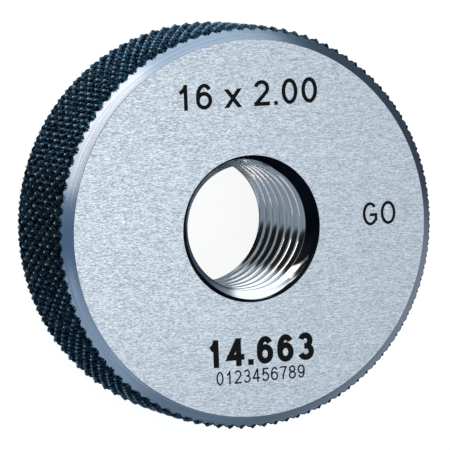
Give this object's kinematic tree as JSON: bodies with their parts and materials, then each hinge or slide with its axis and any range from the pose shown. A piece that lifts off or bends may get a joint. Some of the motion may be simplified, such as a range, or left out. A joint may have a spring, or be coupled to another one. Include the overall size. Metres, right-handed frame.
{
  "type": "thread ring gauge",
  "caption": "Solid ring gauge for checking external threads: steel ring with a threaded bore, countersunk mouths, chamfered faces and a diamond-knurled rim.",
  "frame": {"origin": "centre of the back face, on the bore's axis", "axes": "+Z along the bore towards the marked face, +Y up and +X to the right as its markings read"},
  "size_m": [0.045, 0.045, 0.016],
  "materials": {
    "gauge_steel": "hardened steel, faces ground with fine straight lines, chamfers turned, knurled rim blackened"
  },
  "bodies": {
    "root": {"gauge_ring": "gauge_steel"}
  },
  "joints": []
}
